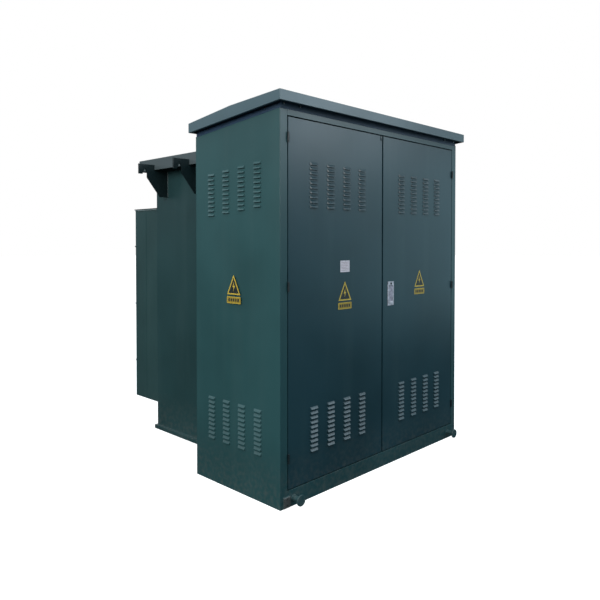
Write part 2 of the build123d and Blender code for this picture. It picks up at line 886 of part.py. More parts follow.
def slide_bolt(direction):
    """Hand bolt at the free edge of the left door, with a knob."""
    end = rod_top if direction > 0 else rod_bottom
    rod = rod_z(bolt_radius, bolt_x, rod_depth, sorted((end, end - direction * bolt_length)))
    guide_z = rib_heights[-1] if direction > 0 else rib_heights[0]
    knob_z = guide_z - direction * (bolt_guide_height / 2 + bolt_travel + 2 * bolt_radius + bolt_knob_gap)
    stem_end = rod_depth + bolt_stem_length
    stem = rod_y(bolt_radius * bolt_stem_share, bolt_x, (rod_depth, stem_end), knob_z)
    head = rod_y(bolt_radius * bolt_head_share, bolt_x, (stem_end, stem_end + bolt_head_thickness), knob_z)
    return rod + stem + head


# ---- fittings on the cabinet's front ----
def lifting_posts():
    """Stubs with end flanges that take a lifting sling."""
    posts = []
    for side in (-1, 1):
        x = side * (half_width - lifting_post_inset)
        tip = lifting_flange_thickness - lifting_post_reach
        stub = rod_y(lifting_post_radius, x, (tip, 0), lifting_post_height)
        flange = rod_y(lifting_flange_radius, x, (-lifting_post_reach, tip), lifting_post_height)
        posts.append(stub + flange)
    return posts


def ground_pad():
    """Bare pad at the foot of the left post with two threaded holes."""
    left = pad_inset - half_width
    middle = left + pad_width / 2
    pad = block((left, left + pad_width), (-pad_thickness, 0), (pad_bottom, pad_bottom + pad_height))
    for side in (-1, 1):
        height = pad_bottom + pad_height / 2 + side * pad_hole_spacing / 2
        pad -= rod_y(pad_hole_radius, middle, (-pad_thickness - 1, 1), height)
    return pad


# ---- tank ----
def tank_plate():
    """Thick front plate of the tank, which is the back of the cabinet."""
    plate = block((-tank_half, tank_half), (plate_face, tank_front), (base_height, plate_height))
    through = (plate_face - 1, tank_front + 1)
    for x in hv_bushing_x:
        plate -= rod_y(hv_stub_radius + small_gap, x, through, hv_bushing_z)
        plate -= rod_y(fuse_tube_radius + small_gap, x, through, fuse_z)
    for x in lv_bushing_x:
        plate -= rod_y(lv_body_radius + small_gap, x, through, lv_bushing_z)
    return plate


def tank_shell():
    """Side and rear walls with the rim that carries the cover."""
    deep = (tank_front, tank_rear)
    shell = block((-tank_half, tank_half), deep, (base_height, rim_top))
    shell += block((-rim_half, rim_half), (tank_front, rim_rear), (rim_top - rim_thickness, rim_top))
    inner = tank_half - tank_wall
    shell -= block((-inner, inner), (tank_front - 1, tank_rear - tank_wall),
                   (base_height - 1, rim_top - rim_thickness))
    mouth = tank_half - rim_inward
    shell -= block((-mouth, mouth), (tank_front + rim_inward, tank_rear - rim_inward),
                   (base_height - 1, rim_top + 1))
    window = fin_bank_width / 2 - fin_thickness
    shell -= block((-window, window), (tank_rear - tank_wall - 1, tank_rear + 1),
                   (fin_bottom + fin_end_fold, fin_top - fin_end_fold))
    hole = cover_bolt_radius + cover_bolt_clearance
    for x, v in cover_bolt_places():
        shell -= rod_z(hole, x, v, (rim_top - rim_thickness - 1, rim_top + 1))
    return shell


def cover_bolt_places():
    """Bolts along both sides and the rear of the rim."""
    x = rim_half - cover_bolt_inset
    rear = rim_rear - cover_bolt_inset / 2
    along_gap, across_gap = cover_bolt_end_gaps
    places = []
    for v in spread(cover_bolts_along, tank_front + along_gap, rear - along_gap):
        places.append((-x, v))
        places.append((x, v))
    for along in spread(cover_bolts_across, across_gap - x, x - across_gap):
        places.append((along, rear))
    return places


def cover_gasket_ring():
    low = rim_top
    inset = gasket_rim_inset
    ring = block((inset - rim_half, rim_half - inset), (tank_front + inset, rim_rear - inset),
                 (low, low + cover_gasket))
    mouth = tank_half - rim_inward + inset
    ring -= block((-mouth, mouth), (tank_front + rim_inward - inset, tank_rear - rim_inward + inset),
                  (low - 1, low + cover_gasket + 1))
    for x, v in cover_bolt_places():
        ring -= rod_z(cover_bolt_radius + cover_bolt_clearance, x, v, (low - 1, low + cover_gasket + 1))
    return ring


def tank_cover():
    """Flat cover with a turned-down skirt at the sides and the rear."""
    near = tank_front + cover_gap
    cover = block((-cover_half, cover_half), (near, cover_rear), (cover_skirt_bottom, cover_top))
    cover -= block((cover_skirt - cover_half, cover_half - cover_skirt), (near - 1, cover_rear - cover_skirt),
                   (cover_skirt_bottom - 1, cover_top - cover_plate))
    for x, v in cover_bolt_places():
        cover -= rod_z(cover_bolt_radius + cover_bolt_clearance, x, v, (rim_top, cover_top + 1))
    return cover


def hexagon(radius, x, v, z):
    face = Pos(x, front + v) * RegularPolygon(radius, 6)
    return extrude(Plane.XY.offset(z[0]) * face, amount=z[1] - z[0])


def bolts_and_screws():
    """Cover bolts with their nuts, and the screws in the roof's neck."""
    pieces = []
    under = rim_top - rim_thickness
    for x, v in cover_bolt_places():
        bolt = rod_z(cover_bolt_radius, x, v, (under - cover_bolt_head_height - cover_bolt_tail, cover_top))
        bolt += hexagon(cover_bolt_head, x, v, (cover_top, cover_top + cover_bolt_head_height))
        bolt += hexagon(cover_bolt_head, x, v, (under - cover_bolt_head_height, under))
        pieces.append(bolt)
    for x, v, outward in screw_places():
        height = body_top(0 if outward == 0 else v) + screw_height
        if outward == 0:
            head = rod_y(screw_head_radius, x, (v - screw_head, v), height)
            pieces.append(head + rod_y(screw_radius, x, (v, v + screw_length), height))
        else:
            head = rod_x(screw_head_radius, sorted((x, x + screw_head * outward)), v, height)
            pieces.append(head + rod_x(screw_radius, sorted((x, x - screw_length * outward)), v, height))
    return pieces


def tank_base():
    """Shallow base: a thick plate on a rim and two cross bars."""
    half = tank_half + base_overhang
    rear = tank_rear + base_rear_overhang
    base = block((-half, half), (plate_face, rear), (0, base_height))
    rim = base_plate
    middle = (plate_face + rear) / 2
    base -= block((rim - half, half - rim), (plate_face + rim, middle - rim), (-1, base_height - base_plate))
    base -= block((rim - half, half - rim), (middle + rim, rear - rim), (-1, base_height - base_plate))
    return base


def lifting_lugs():
    """Hooked plates welded to the tank's sides, under the cover's skirt."""
    under = cover_skirt_height + lug_skirt_gap
    past_skirt = cover_side_overhang + cover_gap
    outline = [(0, lug_bottom), (lug_foot, lug_bottom), lug_elbow, lug_neck, lug_notch,
               (lug_reach - lug_hook_width, lug_hook_bottom), (lug_reach, lug_hook_bottom),
               (lug_reach, lug_top), (past_skirt, lug_top), (past_skirt, under), (0, under)]
    points = [(-tank_half - out, cover_top - drop) for out, drop in outline]
    lugs = []
    for v in lug_depths:
        lug = face_prism(points, (v - lug_thickness / 2, v + lug_thickness / 2))
        lugs += [lug, mirrored(lug)]
    return lugs


# ---- cooling wall ----
def fin_wall():
    """Corrugated rear wall: hollow fins that open into the tank."""
    half = fin_bank_width / 2
    rear = fin_bank_rear
    wall = block((-half, half), (tank_rear, tank_rear + sheet), (fin_bottom, fin_top))
    fins = []
    hollows = []
    end = fin_sheet + fin_end_fold
    for x in spread(fin_count, fin_thickness / 2 - half, half - fin_thickness / 2):
        side = fin_thickness / 2
        fins.append(block((x - side, x + side), (tank_rear, rear), (fin_bottom, fin_top)))
        side -= fin_sheet
        hollows.append(block((x - side, x + side), (tank_rear - 1, rear - fin_sheet),
                             (fin_bottom + end, fin_top - end)))
    bead_v = (tank_rear + rear) / 2
    for side in (-1, 1):
        outline = [(side * half, bead_v - fin_bead_width / 2), (side * (half + fin_bead_height), bead_v),
                   (side * half, bead_v + fin_bead_width / 2)]
        fins.append(plan_prism(outline, (fin_bottom + fin_bead_end, fin_top - fin_bead_end)))
    return wall.fuse(*fins).cut(*hollows)


def fin_bars():
    """Flat cap over the fins and round bars that tie their outer edges."""
    half = fin_bank_width / 2
    near = tank_rear + sheet
    cap = block((-half - fin_cap_overhang, half + fin_cap_overhang), (near, fin_bank_rear + fin_cap_overhang),
                (fin_top, fin_top + fin_cap_thickness))
    bars = [rod_x(tie_bar_radius, (-half, half), fin_bank_rear + tie_bar_radius, z) for z in tie_bar_heights]
    return [cap] + bars


# ---- high voltage fittings, left compartment ----
def reach_rod(radius, x, reach, z):
    """Round bar along Y between two reaches out from the tank plate."""
    return rod_y(radius, x, (plate_face - reach[1], plate_face - reach[0]), z)


def reach_block(x, reach, z):
    return block(x, (plate_face - reach[1], plate_face - reach[0]), z)


def turned(profile, x, z):
    """Turn an outline of (radius, reach) about an axis along Y."""
    face = Plane.XY * Polygon(*profile, align=None)
    solid = revolve(face, axis=Axis.Y)
    return Pos(x, front + plate_face, z) * Rot(0, 0, 180) * solid


def hv_bushings():
    """Moulded bushing wells: flange, tapered nose with a socket, and a stub in the tank."""
    well = hv_nose_reach - hv_well_depth
    stub = hv_stub_radius
    profile = [(0, -hv_stub_inside), (stub, -hv_stub_inside), (stub, 0), (hv_flange[0], 0), hv_flange,
               hv_nose_root, hv_nose_shoulder, (stub, hv_nose_reach), (hv_well_radius, hv_nose_reach),
               (hv_well_radius, well), (0, well)]
    return [turned(profile, x, hv_bushing_z) for x in hv_bushing_x]


def fuse_tubes():
    """Fixed tubes of the three draw-out fuses."""
    bore = fuse_radius + fuse_clearance
    tubes = []
    for x in hv_bushing_x:
        tube = reach_rod(fuse_tube_radius, x, (-fuse_tube_inside, fuse_tube_reach), fuse_z)
        tube += reach_rod(fuse_tube_radius + fuse_flange_width, x, (0, fuse_flange_thickness), fuse_z)
        hollow = reach_rod(bore, x, (fuse_tube_end - fuse_tube_inside, fuse_tube_reach + 1), fuse_z)
        tubes.append(tube - hollow)
    return tubes


def fuse_holder(x):
    """Draw-out fuse: rod, cap and a pulling eye."""
    mouth = fuse_tube_reach
    rod = reach_rod(fuse_radius, x, (fuse_tube_end + fuse_end_gap - fuse_tube_inside, mouth + 1), fuse_z)
    cap = reach_rod(fuse_cap_radius, x, (mouth + small_gap, mouth + fuse_cap_length), fuse_z)
    middle = plate_face - mouth - fuse_eye_reach
    half = fuse_eye_width / 2
    eye = rod_x(fuse_eye_radius, (x - half, x + half), middle, fuse_z)
    return rod + cap + (eye - rod_x(fuse_eye_hole, (x - half - 1, x + half + 1), middle, fuse_z))


def plate_fittings():
    """Bosses of the switch and tap changer, gauge cases and valve bodies."""
    pieces = []
    for x, z in ((switch_x, switch_z), (tap_x, tap_z)):
        boss = reach_rod(boss_radius, x, (0, boss_thickness), z)
        pieces.append(boss + reach_rod(boss_neck_radius, x, (boss_thickness, boss_reach), z))
    for x in gauge_x:
        case = reach_rod(gauge_radius, x, (0, gauge_reach), gauge_z)
        recess = (gauge_face_reach, gauge_reach + 1)
        pieces.append(case - reach_rod(gauge_radius - gauge_rim, x, recess, gauge_z))
    relief = reach_rod(relief_radius, relief_x, (0, relief_reach), relief_z)
    stem_hole = (relief_stem_reach[0] / 2, relief_reach + 1)
    pieces.append(relief - reach_rod(relief_stem_radius + fuse_clearance, relief_x, stem_hole, relief_z))
    plug = Pos(fill_x, relief_z) * RegularPolygon(fill_plug_radius, 6)
    pieces.append(extrude(Plane.XZ.offset(-(front + plate_face)) * plug, amount=fill_plug_reach))
    drain = reach_rod(drain_radius, drain_x, (0, drain_reach), drain_z)
    stem_middle = plate_face - drain_stem_reach
    drain += rod_z(drain_stem_radius, drain_x, stem_middle, (drain_z, drain_z + drain_stem_height))
    mouth = (drain_reach - drain_mouth_depth, drain_reach + 1)
    pieces.append(drain - reach_rod(drain_mouth_radius, drain_x, mouth, drain_z))
    return pieces


def switch_handle():
    """Lever of the load-break switch, hanging straight down."""
    half = switch_arm_width / 2
    low = switch_z - switch_arm_length
    hub = reach_rod(switch_hub_radius, switch_x, (boss_reach + small_gap, switch_hub_reach), switch_z)
    arm = reach_block((switch_x - half, switch_x + half), switch_arm_reach, (low, switch_z))
    eye = reach_rod(switch_eye_radius, switch_x, switch_arm_reach, low)
    return hub + arm + eye - reach_rod(switch_eye_hole, switch_x, (0, switch_hub_reach), low)


def tap_handle():
    """Round knob of the tap changer with a bar to turn it by."""
    near = boss_reach + small_gap
    far = near + tap_knob_thickness
    knob = reach_rod(tap_knob_radius, tap_x, (near, far), tap_z)
    half = tap_bar_width / 2
    return knob + reach_block((tap_x - tap_bar_length / 2, tap_x + tap_bar_length / 2),
                              (far, far + tap_bar_height), (tap_z - half, tap_z + half))


# ---- low voltage fittings, right compartment ----
def lv_bushings():
    body = lv_body_radius
    profile = [(0, -lv_body_inside), (body, -lv_body_inside), (body, 0), (lv_flange[0], 0), lv_flange,
               (body, lv_flange[1] + 2), (body, lv_body_reach), (0, lv_body_reach)]
    return [turned(profile, x, lv_bushing_z) for x in lv_bushing_x]


def lv_spades():
    """Stud and flat blade of each low voltage terminal."""
    half = spade_hole_spacing / 2
    thin = spade_thickness / 2
    tall = spade_height / 2
    spades = []
    for x in lv_bushing_x:
        spade = reach_rod(lv_stud_radius, x, (lv_body_reach, lv_stud_reach), lv_bushing_z)
        spade += reach_block((x - thin, x + thin), spade_reach, (lv_bushing_z - tall, lv_bushing_z + tall))
        across = (x - thin - 1, x + thin + 1)
        for dv in (-half, half):
            for dz in (-half, half):
                spade -= rod_x(spade_hole_radius, across, spade_middle + dv, lv_bushing_z + dz)
        spades.append(spade)
    return spades


def gauge_needle(x):
    near = gauge_face_reach + small_gap
    hub = reach_rod(needle_hub_radius, x, (near, near + needle_thickness), gauge_z)
    half = needle_width / 2
    arm = reach_block((x - half, x + half), (near + 1.5, near + 3),
                      (gauge_z - needle_tail, gauge_z + needle_tip))
    return hub + arm


def relief_ring():
    """Spring-loaded stem and pull ring of the pressure relief valve."""
    stem = reach_rod(relief_stem_radius, relief_x, relief_stem_reach, relief_z)
    middle = plate_face - relief_ring_reach
    half = relief_ring_width / 2
    ring = rod_x(relief_ring_radius, (relief_x - half, relief_x + half), middle, relief_z)
    return stem + ring - rod_x(relief_ring_hole, (relief_x - half - 1, relief_x + half + 1), middle, relief_z)


def drain_lever():
    """Quarter-turn lever on top of the drain valve."""
    middle = plate_face - drain_stem_reach
    low = drain_z + drain_stem_height + small_gap
    hub = rod_z(drain_hub_radius, drain_x, middle, (low, low + drain_hub_height))
    half = drain_arm_width / 2
    bottom, top = drain_arm_levels
    return hub + block((drain_x - drain_arm_length, drain_x), (middle - half, middle + half),
                       (low + bottom, low + top))


# ---- core and windings ----
def core():
    """Three-limb laminated core."""
    depth = (core_middle_v - core_depth / 2, core_middle_v + core_depth / 2)
    top = core_bottom + 2 * core_yoke + core_window
    across = (-core_half_width, core_half_width)
    iron = block(across, depth, (core_bottom, core_bottom + core_yoke))
    iron += block(across, depth, (top - core_yoke, top))
    for x in limb_places():
        iron += block((x - limb_width / 2, x + limb_width / 2), depth, (core_bottom, top))
    return iron


def limb_places():
    return (-limb_spacing, 0.0, limb_spacing)


def core_clamps():
    """Channels that squeeze the yokes and stand the core on the base."""
    top = core_bottom + 2 * core_yoke + core_window
    near = core_depth / 2
    clamps = []
    for side in (-1, 1):
        v = sorted((core_middle_v + side * near, core_middle_v + side * (near + clamp_width)))
        across = (-core_half_width - clamp_overhang, core_half_width + clamp_overhang)
        clamps.append(block(across, v, (base_height, core_bottom + clamp_height)))
        clamps.append(block(across, v, (top - clamp_height, top)))
    return clamps


def windings():
    """Low voltage windings inside the high voltage windings."""
    low = core_bottom + core_yoke + coil_end_gap
    z = (low, low + core_window - 2 * coil_end_gap)
    coils = []
    for x in limb_places():
        for inner, outer in ((lv_coil_inner, lv_coil_outer), (hv_coil_inner, hv_coil_outer)):
            coils.append(rod_z(outer, x, core_middle_v, z) - rod_z(inner, x, core_middle_v, z))
    return coils


left_post = corner_post()
nodes = {
    "left_corner_post": left_post,
    "right_corner_post": mirrored(left_post),
    "left_side_panel": side_panel(-1),
    "right_side_panel": side_panel(1),
    "rear_closures": rear_closures(),
    "front_header": front_header(),
    "front_sill": front_sill(),
    "base_rails": base_rails(),
    "compartment_barrier": compartment_barrier(),
    "roof_shell": roof_shell(),
    "roof_neck": roof_neck(),
    "roof_ribs": roof_ribs(),
    "frame_hinges": [frame_hinge(-1, z) for z in left_hinge_heights]
    + [frame_hinge(1, z) for z in right_hinge_heights],
    "side_signs": side_signs(),
    "lifting_posts": lifting_posts(),
    "ground_pad": ground_pad(),
    "left_door_skin": door_skin(-1),
    "left_door_ribs": door_ribs(-1),
    "left_door_gasket": door_gasket(-1),
    "left_door_hinges": [door_hinge(-1, z) for z in left_hinge_heights],
    "left_door_signs": left_door_signs(),
    "upper_slide_bolt": slide_bolt(1),
    "lower_slide_bolt": slide_bolt(-1),
    "right_door_skin": door_skin(1),
    "right_door_ribs": door_ribs(1),
    "right_door_gasket": door_gasket(1),
    "right_door_hinges": [door_hinge(1, z) for z in right_hinge_heights],
    "right_door_sign": placed_sign(Pos(right_sign_x, front, door_top - right_sign_drop)),
    "lock_body": lock_body(),
    "lock_handle": lock_handle(),
    "lock_button": lock_button(),
    "lock_cam": lock_cam(),
    "upper_lock_rod": lock_rod(1),
    "lower_lock_rod": lock_rod(-1),
    "tank_plate": tank_plate(),
    "tank_shell": tank_shell(),
    "tank_base": tank_base(),
    "cover_gasket": cover_gasket_ring(),
    "tank_cover": tank_cover(),
    "bolts_and_screws": bolts_and_screws(),
    "lifting_lugs": lifting_lugs(),
    "fin_wall": fin_wall(),
    "fin_bars": fin_bars(),
    "hv_bushings": hv_bushings(),
    "fuse_tubes": fuse_tubes(),
    "left_fuse": fuse_holder(hv_bushing_x[0]),
    "middle_fuse": fuse_holder(hv_bushing_x[1]),
    "right_fuse": fuse_holder(hv_bushing_x[2]),
    "plate_fittings": plate_fittings(),
    "switch_handle": switch_handle(),
    "tap_handle": tap_handle(),
    "lv_bushings": lv_bushings(),
    "lv_spades": lv_spades(),
    "level_needle": gauge_needle(gauge_x[0]),
    "thermometer_needle": gauge_needle(gauge_x[1]),
    "relief_ring": relief_ring(),
    "drain_lever": drain_lever(),
    "core": core(),
    "core_clamps": core_clamps(),
    "windings": windings(),
}

for name, shape in nodes.items():
    solid = Compound(children=shape) if isinstance(shape, list) else shape
    export_step(solid, f"parts/{name}.step")
print("front", front, "nodes", len(nodes))
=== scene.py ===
"""Pad-mounted transformer: a louvred green cable cabinet in front of an oil tank.

Metres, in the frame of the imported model: +X right, +Y rearwards, +Z up.
The doors face -Y, and the object stands on z = 0.
"""
import math

import bmesh
import bpy
from mathutils import Matrix, Vector


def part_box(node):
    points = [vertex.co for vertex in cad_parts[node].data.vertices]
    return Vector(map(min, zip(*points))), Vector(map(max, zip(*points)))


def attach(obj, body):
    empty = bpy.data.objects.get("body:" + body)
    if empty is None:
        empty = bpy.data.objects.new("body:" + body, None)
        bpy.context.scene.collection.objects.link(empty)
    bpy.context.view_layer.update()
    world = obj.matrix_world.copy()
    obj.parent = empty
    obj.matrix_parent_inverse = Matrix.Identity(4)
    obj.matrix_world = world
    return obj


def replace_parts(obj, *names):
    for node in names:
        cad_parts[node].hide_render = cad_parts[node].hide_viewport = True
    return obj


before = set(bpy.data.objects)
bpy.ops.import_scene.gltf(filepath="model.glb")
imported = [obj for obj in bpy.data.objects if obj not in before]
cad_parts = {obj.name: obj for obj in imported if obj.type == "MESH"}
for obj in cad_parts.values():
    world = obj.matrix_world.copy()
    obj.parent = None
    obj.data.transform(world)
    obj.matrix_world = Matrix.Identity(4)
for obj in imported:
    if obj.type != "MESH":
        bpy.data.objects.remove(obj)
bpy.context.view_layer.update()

# ---- camera, at eye height off the left front corner ----
# A plain lens with a small downward shift keeps the uprights upright.
camera_lens = bpy.data.cameras.new("camera")
camera_lens.lens = 36.12
camera_lens.shift_x = -0.005
camera_lens.shift_y = -0.075
camera = bpy.data.objects.new("camera", camera_lens)
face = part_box("front_sill")[0].y
camera.location = (-3.179, face - 2.368, 1.471)
camera.rotation_euler = (math.radians(88.835), 0, math.radians(-45.8))
bpy.context.scene.collection.objects.link(camera)
bpy.context.scene.camera = camera
bpy.context.scene.view_settings.view_transform = "Standard"


# ---- studio: pale floor, bright sky over a dark ground, softboxes ----
# The backdrop is plain white to the camera. What the paint mirrors is a dark
# ground, a dim horizon and a bright sky, as it does in an open yard.
def add_node(tree, kind, inputs=None, **settings):
    """A shader node; an input is a constant or the socket of another node."""
    made = tree.nodes.new("ShaderNode" + kind)
    for name, value in settings.items():
        setattr(made, name, value)
    for name, value in (inputs or {}).items():
        if isinstance(value, bpy.types.NodeSocket):
            tree.links.new(value, made.inputs[name])
        else:
            made.inputs[name].default_value = value
    return made


def mixed(tree, factor, first, second):
    """Colour between two colours; returns the socket."""
    made = add_node(tree, "Mix", {0: factor, 6: first, 7: second}, data_type="RGBA")
    return made.outputs[2]


def ramped(tree, value, low, high, bottom=0.0, top=1.0):
    """Value carried from one range to another and kept inside it; returns the socket."""
    made = add_node(tree, "MapRange", {0: value, 1: low, 2: high, 3: bottom, 4: top})
    return made.outputs[0]


backdrop_white = (1.0, 1.0, 1.0, 1.0)
sky_high = (0.80, 0.90, 0.97, 1.0)
sky_low = (0.15, 0.19, 0.21, 1.0)
ground_dark = (0.040, 0.055, 0.060, 1.0)
behind = (0.717, 0.697, 0.0)
world = bpy.data.worlds.new("studio")
world.use_nodes = True
world_tree = world.node_tree
direction = add_node(world_tree, "TexCoord").outputs["Generated"]
height = add_node(world_tree, "SeparateXYZ", {0: direction}).outputs["Z"]
upper = mixed(world_tree, ramped(world_tree, height, 0.06, 0.42), sky_low, sky_high)
yard = mixed(world_tree, ramped(world_tree, height, -0.08, 0.03), ground_dark, upper)
along = add_node(world_tree, "VectorMath", {0: direction, 1: behind},
                 operation="DOT_PRODUCT").outputs["Value"]
wall = add_node(world_tree, "Math", {0: ramped(world_tree, along, 0.62, 0.86),
                                     1: ramped(world_tree, height, -0.03, 0.03)},
                operation="MULTIPLY").outputs[0]
yard = mixed(world_tree, wall, yard, backdrop_white)
seen = add_node(world_tree, "LightPath").outputs["Is Camera Ray"]
background = world_tree.nodes["Background"]
world_tree.links.new(mixed(world_tree, seen, yard, backdrop_white), background.inputs["Color"])
background.inputs["Strength"].default_value = 1.0
bpy.context.scene.world = world

floor_half = 60.0
floor_bm = bmesh.new()
bmesh.ops.create_grid(floor_bm, x_segments=1, y_segments=1, size=floor_half)
floor_mesh = bpy.data.meshes.new("floor")
floor_bm.to_mesh(floor_mesh)
floor_bm.free()
floor = bpy.data.objects.new("floor", floor_mesh)
bpy.context.scene.collection.objects.link(floor)
floor_paint = bpy.data.materials.new("floor_paint")
floor_paint.use_nodes = True
floor_shader = floor_paint.node_tree.nodes["Principled BSDF"]
floor_shader.inputs["Base Color"].default_value = (0.6, 0.6, 0.6, 1.0)
floor_shader.inputs["Roughness"].default_value = 1.0
floor_shader.inputs["Specular IOR Level"].default_value = 0.0
floor_shader.inputs["Emission Color"].default_value = backdrop_white
floor_shader.inputs["Emission Strength"].default_value = 0.82
floor.data.materials.append(floor_paint)
floor.visible_glossy = False
floor.visible_diffuse = False


def softbox(name, place, aim, size, watts, colour=(1.0, 1.0, 1.0)):
    """A rectangular area light that looks at a point."""
    lamp = bpy.data.lights.new(name, "AREA")
    lamp.color = colour
    lamp.shape = "RECTANGLE"
    lamp.size, lamp.size_y = size
    lamp.energy = watts
    holder = bpy.data.objects.new(name, lamp)
    holder.location = place
    holder.rotation_euler = (Vector(aim) - Vector(place)).to_track_quat("-Z", "Y").to_euler()
    bpy.context.scene.collection.objects.link(holder)


softbox("left_softbox", (-6.0, -1.6, 3.4), (-0.9, -0.4, 1.1), (4.0, 3.0), 230.0)
softbox("right_softbox", (3.8, -5.4, 4.3), (-0.4, -1.0, 2.0), (3.0, 3.0), 95.0, (0.76, 0.90, 1.0))
softbox("low_right_softbox", (6.5, -4.5, 1.6), (0.2, -1.0, 1.2), (5.0, 3.2), 40.0, (0.55, 0.88, 1.0))
softbox("overhead_softbox", (-1.6, -3.4, 6.5), (-0.2, -0.8, 1.6), (3.0, 3.0), 110.0, (0.90, 0.96, 1.0))


# ---- cabinet body: folded posts, header, sill and louvred side panels ----
# Galvanised sheet of 3 mm, folded, welded and then powder coated in a dark
# semi-gloss green. Outer corners are bends, so they carry a small radius.
def principled(name, colour, roughness, metallic=0.0):
    """A material and its shader, with plain colour and roughness to start from."""
    material = bpy.data.materials.new(name)
    material.use_nodes = True
    shader = material.node_tree.nodes["Principled BSDF"]
    shader.inputs["Base Color"].default_value = (*colour, 1.0)
    shader.inputs["Roughness"].default_value = roughness
    shader.inputs["Metallic"].default_value = metallic
    return material, material.node_tree, shader


def noise(tree, place, scale, detail=2.0):
    """Fine or coarse mottling at a place; returns the socket."""
    return add_node(tree, "TexNoise", {"Vector": place, "Scale": scale, "Detail": detail}).outputs[0]


def powder_coat(name, tone, roughness=0.33, dirt=0.35):
    """Green powder coat: orange peel, slow waves of the sheet, rain streaks and dust low down."""
    material, tree, shader = principled(name, tone, roughness)
    place = add_node(tree, "TexCoord").outputs["Object"]
    upright = add_node(tree, "Mapping", {"Vector": place, "Scale": (9.0, 9.0, 0.7)}).outputs[0]
    pale = (*[channel * 1.16 + 0.001 for channel in tone], 1.0)
    deep = (*[channel * 0.90 for channel in tone], 1.0)
    body = mixed(tree, ramped(tree, noise(tree, place, 1.6, 3.0), 0.35, 0.65), deep, pale)
    streaks = ramped(tree, noise(tree, upright, 1.0, 4.0), 0.52, 0.78, 0.0, 0.16)
    body = mixed(tree, streaks, body, (0.060, 0.105, 0.105, 1.0))
    level = add_node(tree, "SeparateXYZ", {0: place}).outputs["Z"]
    low = ramped(tree, level, 0.32, 0.0, 0.0, dirt)
    specks = ramped(tree, noise(tree, place, 38.0, 5.0), 0.42, 0.72)
    dust = add_node(tree, "Math", {0: low, 1: specks}, operation="MULTIPLY").outputs[0]
    body = mixed(tree, dust, body, (0.13, 0.13, 0.115, 1.0))
    tree.links.new(body, shader.inputs["Base Color"])
    cloudy = ramped(tree, noise(tree, place, 3.0, 2.0), 0.3, 0.7, roughness - 0.02, roughness + 0.03)
    tree.links.new(cloudy, shader.inputs["Roughness"])
    waves = add_node(tree, "Bump", {"Height": noise(tree, place, 2.6, 1.0), "Strength": 0.4,
                                    "Distance": 0.0014})
    peel = add_node(tree, "Bump", {"Height": noise(tree, place, 330.0, 2.0), "Strength": 0.1,
                                   "Distance": 0.00005, "Normal": waves.outputs[0]})
    tree.links.new(peel.outputs[0], shader.inputs["Normal"])
    shader.inputs["Specular IOR Level"].default_value = 0.5
    return material


def into_object(name, bm, material, body, sharp=35.0):
    """Give a finished mesh its object, finish and body."""
    mesh = bpy.data.meshes.new(name)
    bm.to_mesh(mesh)
    bm.free()
    mesh.shade_smooth()
    mesh.set_sharp_from_angle(angle=math.radians(sharp))
    piece = bpy.data.objects.new(name, mesh)
    bpy.context.scene.collection.objects.link(piece)
    piece.data.materials.append(material)
    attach(piece, body)
    return piece


def weighted(piece):
    """Large flats keep their own normals beside small rounded edges."""
    modifier = piece.modifiers.new("weighted_normals", "WEIGHTED_NORMAL")
    modifier.keep_sharp = True
    modifier.weight = 80
    return piece


chamfer_cut = 0.007
least_fold = 0.6                # radians; flatter edges stay unrounded


def rounded_copy(node, name, radius, material, body="housing", chosen=None, shortest=0.04,
                 chamfered=None, sharp=35.0):
    """A CAD piece with its flats joined and its long outer edges rounded.

    Edges that chamfered picks are first cut off flat, by chamfer_cut.
    """
    bm = bmesh.new()
    bm.from_mesh(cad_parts[node].data)
    bmesh.ops.remove_doubles(bm, verts=bm.verts, dist=2e-5)
    bmesh.ops.dissolve_limit(bm, angle_limit=math.radians(0.4), verts=bm.verts, edges=bm.edges)
    if chamfered is not None:
        cut = [edge for edge in bm.edges if chamfered(edge)]
        bmesh.ops.bevel(bm, geom=cut, offset=chamfer_cut, offset_type="OFFSET", affect="EDGES", segments=1,
                        profile=0.5, material=-1, clamp_overlap=True)
    edges = []
    for edge in bm.edges:
        if not edge.is_manifold or edge.calc_length() < shortest:
            continue
        if edge.calc_face_angle_signed() < least_fold:
            continue
        if chosen is None or chosen((edge.verts[0].co + edge.verts[1].co) / 2):
            edges.append(edge)
    bmesh.ops.bevel(bm, geom=edges, offset=radius, offset_type="OFFSET", affect="EDGES", segments=3,
                    profile=0.5, material=-1, clamp_overlap=True)
    piece = into_object(name, bm, material, body, sharp)
    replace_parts(piece, node)
    return weighted(piece)


def finish(node, material):
    """A CAD piece that has the right shape gets its finish."""
    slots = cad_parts[node].data.materials
    slots.clear()
    slots.append(material)


frame_tone = (0.013, 0.050, 0.056)
panel_tone = (0.019, 0.064, 0.067)
frame_green = powder_coat("frame_green", frame_tone)
panel_green = powder_coat("panel_green", panel_tone)
bend = 0.0024
hood_sharp = 12.0               # degrees; keeps the facets of the louvre hoods crisp
for side in ("left", "right"):
    rounded_copy(f"{side}_corner_post", f"{side}_post", bend, frame_green,
                 chosen=lambda middle: middle.y < face + 0.001)
    rounded_copy(f"{side}_side_panel", f"{side}_panel", 0.0008, panel_green,
                 shortest=0.5, sharp=hood_sharp)
for node, name in (("front_header", "header"), ("front_sill", "sill")):
    rounded_copy(node, name, 0.0012, frame_green,
                 chosen=lambda middle: middle.y < face + 0.001)
for node in ("rear_closures", "base_rails", "compartment_barrier"):
    finish(node, frame_green if node != "rear_closures" else panel_green)


# ---- roof: one folded shell on a recessed neck ----
# The shell is a tray turned over, ridged a third of the way back, and it is
# screwed to the neck from the front and the sides.
# The roof takes a lighter copy of the cabinet's green paint: a painted highlight for the bright fascia.
roof_green_painted_highlight = powder_coat("roof_green_painted_highlight", (0.056, 0.094, 0.110), roughness=0.30)
